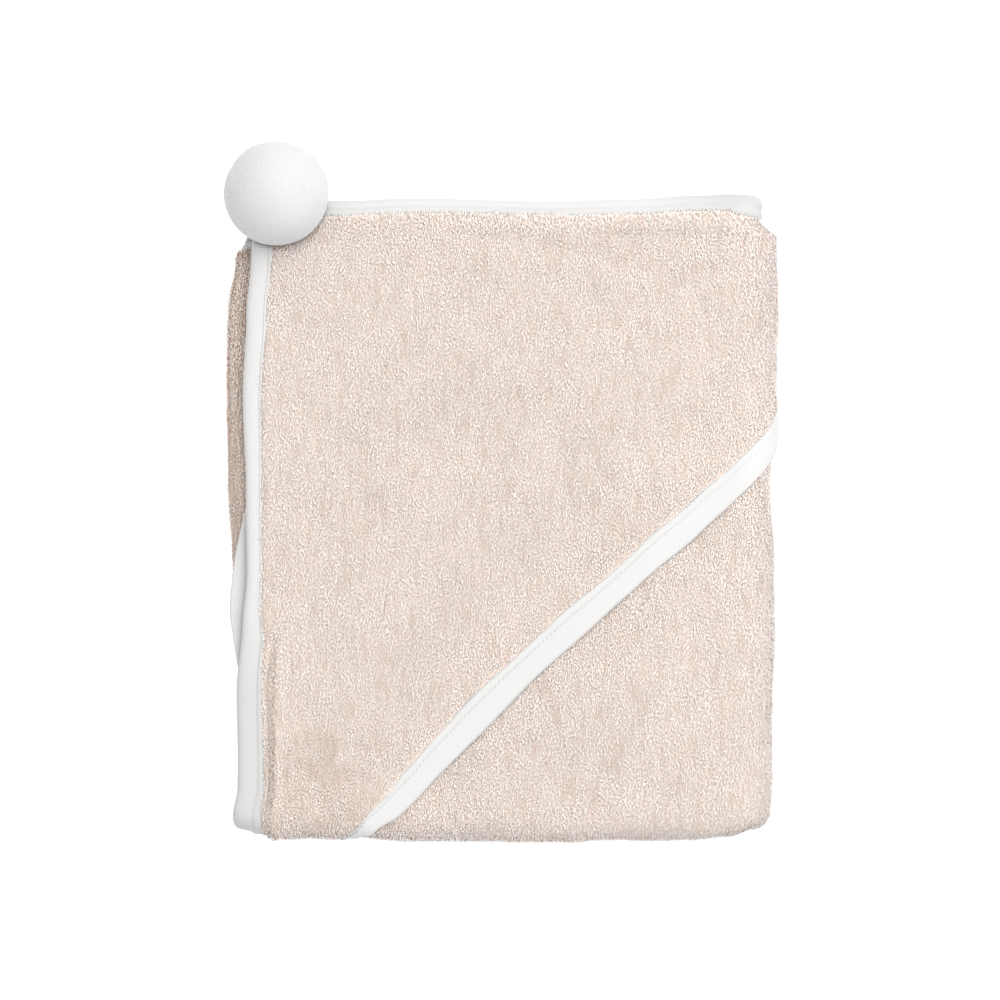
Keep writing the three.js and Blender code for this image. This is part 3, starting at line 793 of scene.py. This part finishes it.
def ball_finish(colours):
    """Short nap: a fine felted grain over faint lumps."""
    finish = Finish("ball_nap")
    uneven, nap = finish.noise(55, 3), finish.noise(1700, 4)
    shade = tuple(colours.ball)
    mixed = finish.blend(uneven * 0.5 + nap * 0.5, tone(shade, 0.90), tone(shade, 1.06))
    felt = finish.bump(nap + uneven * 0.6, 0.0006, 0.8)
    return finish.cloth(mixed, 0.84 + nap * 0.12, felt, 0.35, nap=0.4)


def finish_of(name, make, colours):
    return bpy.data.materials.get(name) or make(colours)


def settle(piece, material, slot, *nodes):
    """The piece gets its material and its body, and stands for the nodes. The slot is not used."""
    piece.data.materials.append(material)
    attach(piece, "root")
    if nodes:
        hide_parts(*nodes)
    return piece


# ---- operators ----
def sizes_and_colours(context):
    return context.scene.towel_sizes, context.scene.towel_colours


class TOWEL_OT_terry(bpy.types.Operator):
    """Ground cloth and pile of the main panel and the hood"""

    bl_idname = "towel.terry"
    bl_label = "Terry panels"

    def execute(self, context):
        sizes, colours = sizes_and_colours(context)
        ground, yarn = finish_of("terry_ground", ground_finish, colours), yarn_finish(colours)
        # A copy of the yarn with painted bounce light, redder and warmer, for the pile on the left
        # fold.
        shaded = yarn_finish(colours, "terry_yarn_fold_painted_bounce", (1.16, 1.02, 0.95))
        self.main_panel(sizes, ground, yarn, shaded)
        self.hood_panel(sizes, ground, yarn)
        return {"FINISHED"}

    def ply(self, name, node, u, end, ground_of, material, thick, deepest):
        """A ply from its back edge to its end, as a wall inwards from its ground's depth."""
        v = mix(1.6, end, np.linspace(0, 1, 92)[None, :])
        u = u + 0 * v
        deep = ground_of(u, v)
        outer, inner = fold_cloth(u, v, deep), fold_cloth(u, v, np.minimum(deep + thick, deepest))
        uv = cloth_uv(length_around(u, 0 * u) * MM, v * MM)
        return settle(wall(name, outer, inner, uv), material, "terry", node)

    def main_panel(self, sizes, ground, yarn, shaded):
        """The outer ply all round the towel, and its pile where it shows, with painted bounce
        light making it warmer on the left fold, where light comes from cloth only."""
        u = stations(0.003, (1, 80), (2, 20), (3, 30), (4, 14), (4.5, 2), (5, 2))
        piece = self.ply("main_panel_ground", "main_panel", u, front_start(u) + hook(u),
                         main_ground, ground, thick=1.3, deepest=2.25)
        places = [("top", 0, 1, 110, 21, 1.0), ("right", 1, 1.5, 2, 22, 1.0),
                  ("right_under", 1.5, UNDER_START, 2, 24, 1.35), ("left", 3.5, 4, 2, 23, 1.0),
                  ("left_under", UNDER_END, 3.5, 2, 25, 1.35),
                  ("front_under", UNDER_START, UNDER_END, 200, 26, 1.2)]
        for name, low, high, v_low, seed, thin in places:
            uu, vv = pile_points(sizes, low, high, v_low, seed, thin)
            keep = (vv < front_start(uu) + hook(uu) - 0.8) & (vv > end_width(uu) + 0.2)
            keep &= (vv > diagonal_at(uu, "free") - 0.2) | (uu > 2)
            raised = fold_cloth(uu, vv, 0)[..., 2] > 1.8
            keep &= (uu < UNDER_START) | (uu > UNDER_END) | raised
            settle(pile(f"main_pile_{name}", sizes, uu[keep], vv[keep], main_ground,
                                     seed), shaded if low > 3 else yarn, "terry")

    def hood_panel(self, sizes, ground, yarn):
        """The hood's ply, cut off along its diagonal, and its pile."""
        u = stations(0.003, (0.045, 6), (0.1, 26), (1, 88), (2, 20), (2.06, 2), (2.12, 2))
        end = diagonal_at(u, "inner") + 2.0
        piece = self.ply("hood_panel_ground", "hood_panel", u, end, hood_ground, ground,
                         thick=1.0, deepest=-0.3)
        runs = [pile_points(sizes, 0, 1.5, 2, 31), pile_points(sizes, 1.5, 1.95, 2, 35, 1.35)]
        uu, vv = (np.concatenate(both) for both in zip(*runs))
        y = fold_cloth(uu, vv, 0)[..., 1]
        side = length_around(np.minimum(uu, 1), y) - side_at("width", y)
        keep = (vv > end_width(uu) + 0.5) & (side > 0.0) & clear_of_ball(uu, vv, hood_ground)
        keep &= vv < diagonal_at(uu, "inner") + 0.1
        cuts = [0.0, 0.24, 0.48, 0.76, 2.0]
        for number, (low, high) in enumerate(zip(cuts, cuts[1:])):
            at = keep & (uu >= low) & (uu < high)
            settle(pile(f"hood_pile_{number}", sizes, uu[at], vv[at], hood_ground,
                                     32 + number), yarn, "terry")
        area = float(np.sum(np.diff(length_around(u[:, 0], 0 * u[:, 0])) * end[1:, 0])) * MM * MM


class TOWEL_OT_plies(bpy.types.Operator):
    """Hidden plies of the fold, which show at the edges as rounded noses of strips"""

    bl_idname = "towel.plies"
    bl_label = "Hidden plies"

    def execute(self, context):
        colours = sizes_and_colours(context)[1]
        left, right, cover, round_by = -93.0, 96.0, 2.9, 2 / 16
        turn = np.linspace(0, 2 * math.pi, 200, endpoint=False)[None, :]
        cx, cy = (np.sign(a) * np.abs(a) ** round_by for a in (np.cos(turn), np.sin(turn)))
        part = np.linspace(0, 1, 36)[:, None]
        x = mix(left, right, (cx + 1) / 2) + 0 * part
        u = np.clip((x - RUN_LEFT) / (RUN_RIGHT - RUN_LEFT), 0, 1)
        top = top_level(x, 60 + 0 * x)
        low, high = cover + 0 * x, top - cover
        z = mix(low, high, part)
        first = (z - STRIP) / STRIP
        second = (z - 2 * STRIP) / np.maximum(high - 4.6 - 2 * STRIP, 0.5)
        place = np.where(z < STRIP, 0.0, np.where(z < 2 * STRIP, first, np.clip(second, 0, 1)))
        nose = 1 - np.sqrt(np.clip(1 - (2 * place - 1) ** 2, 0, 1))
        inside = np.clip(1 - ((STRIP - top + z) / 5.4) ** 2, 0, 1)
        behind = np.select([z < STRIP, z > top - 13], [5.6 + 0 * z, 7.0 - 4.4 * np.sqrt(inside)],
                           2.8 + 2.6 * nose)
        front = front_at(u) + behind
        back = back_at(u) - np.where(z < STRIP, 12, 0.5 + 2.6 * nose)
        y = mix(front, back, (cy + 1) / 2)
        x = x - np.sign(cx) * 2.2 * nose * (np.abs(cx) > 0.9)
        rings = np.stack([x, y, np.minimum(z, top_level(x, y) - cover)], axis=-1)
        uv = rings[..., :2] * MM
        piece = swept("folded_plies", rings, uv)
        # The plies' edges, with darker painted shade in the hollows between the worms.
        edges = ground_finish(colours, "terry_edges", 900, 0.66, 0.001)
        settle(piece, edges, "terry", "inner_layers")
        return {"FINISHED"}


class TOWEL_OT_bindings(bpy.types.Operator):
    """Tapes round the towel's edges and along the hood's diagonal"""

    bl_idname = "towel.bindings"
    bl_label = "Bindings"

    def execute(self, context):
        sizes, colours = sizes_and_colours(context)
        self.ribbed, self.plain = tape_finish(colours, sizes.rib), tape_finish(colours)
        # The back binding's tape, with fainter painted shade along its sewn line.
        self.faint_seam_shade = tape_finish(colours, sizes.rib, 0.15)
        self.side_tape()
        self.end_tape()
        self.hood_tape()
        self.lower_tapes()
        self.inside_tape()
        return {"FINISHED"}

    def section(self, groove, width, flare, top, under):
        """The folded tape's outline, as reach from its edge and height over the outer ply."""
        reach, rise = (np.array(TAPE_FACE[k])[None, :] for k in ("reach", "rise"))
        out = np.where(reach < 1, groove + (reach - 1) * (groove + flare),
                       groove + (reach - 1) * (width - groove))
        return thick_section(out, mix(under, top, rise), 0.45)

    def tape(self, name, rings, uv, finish, node, long, wide, on):
        """A tape's piece and the node it stands for. Its flat length and width and its rest are
        not used.
        """
        piece = settle(swept(name, rings, uv), finish, "binding", node)

    def side_tape(self):
        """Round the left edge of the top run and of the hood, down into the front fold."""
        start, end = end_width(0.0) + 0.4, front_start(0.0) + hook(0.0)
        v = np.linspace(start, end, 230)[:, None]
        y = fold_cloth(0 * v, v, 0)[..., 1]
        groove, width, flare = (side_at(k, y) for k in ("groove", "width", "flare"))
        out, height = self.section(groove, width, flare, 2.6 + 0.1 * np.sin(v / 17), -2.4)
        rings = fold_cloth(out / length_around(1 + 0 * y, y), v + 0 * out, -height)
        uv = cloth_uv(v * MM, even_run(out, 0.8))
        self.tape("side_binding", rings, uv, self.ribbed, "side_edge_binding",
                  long=float(end - start), wide=26.0, on="hood_panel_ground")

    def end_tape(self):
        """Round the back edge: over the roll, round the right fold, under and up the left."""
        u = stations(0, (1, 150), (2, 44), (3, 60), (4, 26), (4.4, 2), (4.8, 2))
        width = end_width(u)
        top = mix(0.1, 2.5, hooded(u))
        under = mix(-3.4, -2.3, hooded(u))
        out, height = self.section(0.68 * width, width, 0.0, top, under)
        rings = fold_cloth(u + 0 * out, out, -height)
        s = length_around(u, 0 * u)
        uv = cloth_uv(s * MM, 0.0088 - even_run(out, 0.6))
        self.tape("end_binding", rings, uv, self.faint_seam_shade, "end_edge_binding",
                  long=sum(RUN_LENGTHS), wide=21.0, on="main_panel_ground")

    def hood_tape(self):
        """Along the hood's diagonal: a tape folded over the edge and pressed, a little domed,
        with the stitching's groove near its sewn edge."""
        u = stations(0.19, (1, 170), (2, 36), (2.12, 5))
        near = diagonal_at(u, "inner") + 0.2
        far = np.maximum(np.minimum(diagonal_at(u, "free"), front_start(u) + hook(u)), near + 0.4)
        q = np.linspace(0, 1, 22)[None, :]
        dome = 2.35 + 0.55 * np.sin(math.pi * q) ** 0.6 * step(far - near, 1, 8)
        groove = mix(0.10, 0.03, step(u, 0.75, 1))
        dome = dome - groove * np.exp(-(((q - HOOD_SEAM) / 0.07) ** 2))
        for down, inwards in ((1.1, q / 0.06), (1.5, (1 - q) / 0.07)):
            dome = dome - down * (1 - np.sqrt(1 - (1 - np.clip(inwards, 0, 1)) ** 2))
        across = np.concatenate([q, q[:, ::-1]], axis=1)
        height = np.concatenate([dome + 0 * far, 0.35 + 0 * (q + far)], axis=1)
        v = mix(near, far, across)
        rings = fold_cloth(u + 0 * v, v, -height)
        s = length_around(u, 0 * u) * math.sqrt(2)
        uv = cloth_uv(s * MM, 0.013 * across)
        self.tape("hood_binding_tape", rings, uv, self.plain, "hood_binding",
                  long=320.0, wide=14.5, on="hood_panel_ground")

    def lower_tapes(self):
        """The bound edge on the second and third plies: a flat folded tape whose rounded left
        edge follows the top one, and bows out of the fold on the second ply."""
        half = 0.95
        y = np.linspace(-137, 82, 100)[:, None]
        part = np.clip((y + 82) / 84, 0, 1)
        bow = 7.6 * np.sin(math.pi * part**0.92) ** 1.25
        edge = edge_at(y)
        second = top_level(edge + 6, y) - 3.85
        third = 2 * left_radius_at(y) + 1.35
        for name, node, out, level in (("second_binding", "second_edge_binding", bow, second),
                                       ("third_binding", "third_edge_binding", 0 * bow, third)):
            left, far = edge + 1.2 - out, edge + 12.4
            turn = np.linspace(0.5 * math.pi, 1.5 * math.pi, 9)[None, :]
            middle = mix(far, left + half, 0.5)
            x = np.concatenate([far, middle, left + half + half * np.cos(turn), middle, far],
                               axis=1)
            z = np.concatenate([level + half, level + half, level + half * np.sin(turn),
                                level - half, level - half], axis=1)
            x, z = thick_section(x, z, 0.4)
            rings = np.stack([x, y + 0 * x, z], axis=-1)
            uv = cloth_uv(y * MM, even_run(x, 1.0))
            self.tape(name, rings, uv, self.ribbed, node, long=219.0, wide=25.0,
                      on="folded_plies")

    def inside_tape(self):
        """The bound edge on the hidden runs, inside the back roll: along, round and back."""
        n = np.linspace(0, 13, 90)[:, None]
        axis = right_at(100) - 2 * STRIP
        start, arm, drop = -56, 4, 11
        level = top_level(mix(start, axis, n / 5), 60) - drop
        level_end = top_level(axis, 60) - drop
        turn = math.pi * (0.5 - (n - 5) / 5)
        y_out = np.array([3.2, 5.0, 6.6, 7.3, 7.6, 7.6, 7.3, 6.6, 5.0, 3.2])
        h = np.array([1, 1, 0.95, 0.7, 0.3, -0.3, -0.7, -0.95, -1, -1])
        y_out, h = (each[None, :] for each in thick_section(-y_out, h, 0.4))
        y_out = -y_out
        x = np.select([n <= 5, n <= 10], [mix(start, axis, n / 5) + 0 * h,
                                          axis + (arm + h) * np.cos(turn)],
                      mix(axis, axis - 100, (n - 10) / 3) + 0 * h)
        z = np.select([n <= 5, n <= 10], [level + h, level_end - arm + (arm + h) * np.sin(turn)],
                      level_end - 2 * arm - h)
        y = back_at(np.minimum(n / 5, 1)) + y_out
        rings = np.stack([x, y + 0 * x, z], axis=-1)
        uv = cloth_uv(n * 0.03, y_out * MM)
        self.tape("inside_binding", rings, uv, self.ribbed, "inner_edge_binding",
                  long=262.0, wide=11.5, on="folded_plies")


class TOWEL_OT_stitches(bpy.types.Operator):
    """Sewing along the bindings"""

    bl_idname = "towel.stitches"
    bl_label = "Stitches"

    def execute(self, context):
        sizes, colours = sizes_and_colours(context)
        tape = finish_of("plain_tape", tape_finish, colours)
        pitch = sizes.stitch / MM
        rng = np.random.default_rng(61)
        t = np.linspace(-0.5, 0.5, 5)[None, :]
        u = np.linspace(0.215, 0.97, int(205 / pitch))
        near, far = diagonal_at(u, "inner") + 0.2, diagonal_at(u, "free")
        far = np.minimum(far, front_start(u) + hook(u))
        v = mix(near, far, HOOD_SEAM)
        slope = np.gradient(v, length_around(u, 0 * u))
        s_step = pitch * 0.36 / np.hypot(1, slope)[:, None]
        rise = 2.64 + 0.12 * np.cos(math.pi * t)
        path = np.stack([t * 2 * s_step, t * 2 * s_step * slope[:, None], rise + 0 * s_step],
                        axis=-1)
        side = np.stack([-slope, 1 + 0 * slope, 0 * slope], axis=-1)[:, None] + 0 * path

        def on_hood(ring):
            return fold_cloth(u[:, None] + ring[..., 0] / RUN_LENGTHS[0],
                              v[:, None] + ring[..., 1], -ring[..., 2])

        piece = yarn_tubes("hood_stitches", path, side, 0.13, on_hood, rng.random(len(u)), 1.0)
        settle(piece, tape, "binding")
        v2 = np.arange(20, 262, pitch)
        y = fold_cloth(0 * v2, v2, 0)[..., 1]
        groove = side_at("groove", y)
        zig = mix(0.15, 0.55, step(y, -60, -95)) * np.where(np.arange(len(v2)) % 2, 1, -1)
        path = np.stack([2 * t * zig[:, None], t * pitch * 1.05 + 0 * zig[:, None],
                         1.5 + 0.26 * np.cos(math.pi * t) + 0.95 * (2 * t * zig[:, None]) ** 2],
                        axis=-1)
        side = np.array([1.0, 0, 0]) + 0 * path

        def on_side(ring):
            out = groove[:, None] + 0.1 + ring[..., 0]
            return fold_cloth(out / length_around(1 + 0 * y, y)[:, None],
                              v2[:, None] + ring[..., 1], -ring[..., 2])

        piece = yarn_tubes("side_stitches", path, side, 0.14, on_side, rng.random(len(v2)), 1.0)
        settle(piece, tape, "binding")
        return {"FINISHED"}


class TOWEL_OT_ball(bpy.types.Operator):
    """The ball at the hood's tip"""

    bl_idname = "towel.ball"
    bl_label = "Ball"

    def execute(self, context):
        sizes, colours = sizes_and_colours(context)
        turn = np.linspace(0, 2 * math.pi, 150, endpoint=False)[None, :]
        tilt = np.linspace(0.002, math.pi - 0.002, 76)[:, None]
        out = np.stack([np.cos(tilt) + 0 * turn, np.sin(tilt) * np.cos(turn),
                        np.sin(tilt) * np.sin(turn)], axis=-1)
        x, y, z = np.moveaxis(out, -1, 0)
        lumps = 0.10 * np.sin(5 * x + 3 * y + 1) + 0.08 * np.sin(6 * y - 4 * z) * np.cos(5 * x)
        rings = BALL + (sizes.ball_radius / MM - 0.15 + lumps)[..., None] * out
        uv = cloth_uv(turn * 0.02, tilt * 0.02)
        piece = settle(swept("ball_cover", rings, uv), ball_finish(colours), "ball", "ball")
        return {"FINISHED"}


class TOWEL_OT_stage(bpy.types.Operator):
    """Floor, lights and camera"""

    bl_idname = "towel.stage"
    bl_label = "Stage"

    def execute(self, context):
        scene = context.scene
        half, light = 3.0, 1.43
        corners = [(-half, -half, 0), (half, -half, 0), (half, half, 0), (-half, half, 0)]
        mesh = bpy.data.meshes.new("floor")
        mesh.from_pydata(corners, [], [(0, 1, 2, 3)])
        floor = placed("floor", mesh)
        finish = Finish("floor_paper")
        grain = finish.noise(300, 2)
        finish.shade(Base_Color=finish.blend(grain, (0.29, 0.29, 0.29, 1), (0.31, 0.31, 0.31, 1)),
                     Roughness=0.95, Specular_IOR_Level=0.0)
        finish.shade(Emission_Color=(1, 1, 1, 1), Emission_Strength=0.82)
        mesh.materials.append(finish.material)
        world = bpy.data.worlds.new("studio")
        scene.world = world
        world.use_nodes = True
        sky = world.node_tree.nodes["Background"].inputs
        sky[0].default_value, sky[1].default_value = (1.0, 1.0, 1.0, 1), light
        self.light("key", at=(0.82, 0.74, 1.62), size=1.9, power=43.5)
        self.camera(scene)
        scene.view_settings.view_transform = "Standard"
        return {"FINISHED"}

    def light(self, name, at, size, power):
        """A round lamp that faces the origin."""
        data = bpy.data.lights.new(name, "AREA")
        data.shape, data.size, data.energy = "DISK", size, power
        lamp = placed(name, data)
        x, y, z = at
        lamp.location = at
        lamp.rotation_euler = (math.atan2(math.hypot(x, y), z), 0, math.atan2(x, -y))

    def camera(self, scene):
        """Straight above the towel and far off."""
        data = bpy.data.cameras.new("camera")
        camera = placed("camera", data)
        far, level, across = 3.0, 0.028, 0.42
        camera.location = (-0.0003, -0.0037, level + far)
        data.lens = data.sensor_width * far / across
        data.clip_end = 10
        scene.camera = camera


OPERATORS = (TOWEL_OT_terry, TOWEL_OT_plies, TOWEL_OT_bindings, TOWEL_OT_stitches,
             TOWEL_OT_ball, TOWEL_OT_stage)


class TOWEL_PT_panel(bpy.types.Panel):
    """Lists the towel's pieces and sizes"""

    bl_label = "Hooded towel"
    bl_idname = "TOWEL_PT_panel"
    bl_space_type = "VIEW_3D"
    bl_region_type = "UI"
    bl_category = "Towel"

    def draw(self, context):
        for group in sizes_and_colours(context):
            for key in group.__annotations__:
                self.layout.prop(group, key)
        for operator in OPERATORS:
            self.layout.operator(operator.bl_idname)


CLASSES = (TowelSizes, TowelColours, *OPERATORS, TOWEL_PT_panel)


def register():
    for each in CLASSES:
        bpy.utils.register_class(each)
    bpy.types.Scene.towel_sizes = bpy.props.PointerProperty(type=TowelSizes)
    bpy.types.Scene.towel_colours = bpy.props.PointerProperty(type=TowelColours)


def unregister():
    del bpy.types.Scene.towel_colours
    del bpy.types.Scene.towel_sizes
    for each in reversed(CLASSES):
        bpy.utils.unregister_class(each)


def main():
    register()
    for name in ("plies", "terry", "bindings", "stitches", "ball", "stage"):
        getattr(bpy.ops.towel, name)()


if __name__ == "__main__":
    main()
